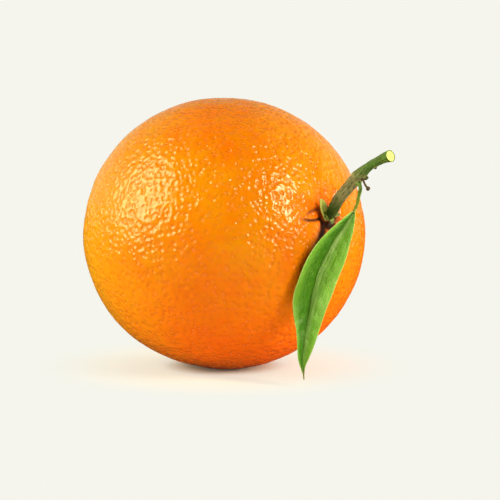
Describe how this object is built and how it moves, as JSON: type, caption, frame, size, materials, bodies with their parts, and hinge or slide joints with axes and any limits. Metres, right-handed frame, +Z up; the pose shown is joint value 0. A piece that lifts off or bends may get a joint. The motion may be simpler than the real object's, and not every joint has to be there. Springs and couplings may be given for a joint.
{
  "type": "orange",
  "caption": "Ripe orange with dimpled peel, a green calyx, a short cut twig and a narrow folded leaf, resting on a small flat spot.",
  "frame": {"origin": "centre of the small flat spot that the fruit rests on, straight below the middle of the fruit", "axes": "+Z up from the surface that it rests on, +X towards the side that the stem end leans to, -Y towards the side that the leaf hangs on"},
  "size_m": [0.0852, 0.0808, 0.0756],
  "materials": {
    "peel": "waxy dimpled peel, half gloss",
    "calyx": "matt, pale green with darker roots",
    "bark": "streaked green and brown young bark",
    "stalk": "smooth green",
    "leaf": "glossy upper side, paler matt underside",
    "dry_wood": "dry and matt",
    "bud": "matt scales"
  },
  "bodies": {
    "root": {"fruit": "peel", "calyx": "calyx", "stem": "bark", "leaf_stalk": "stalk", "leaf_blade": "leaf", "dry_spur": "dry_wood", "bud_lower": "bud", "bud_upper": "bud"}
  },
  "joints": []
}
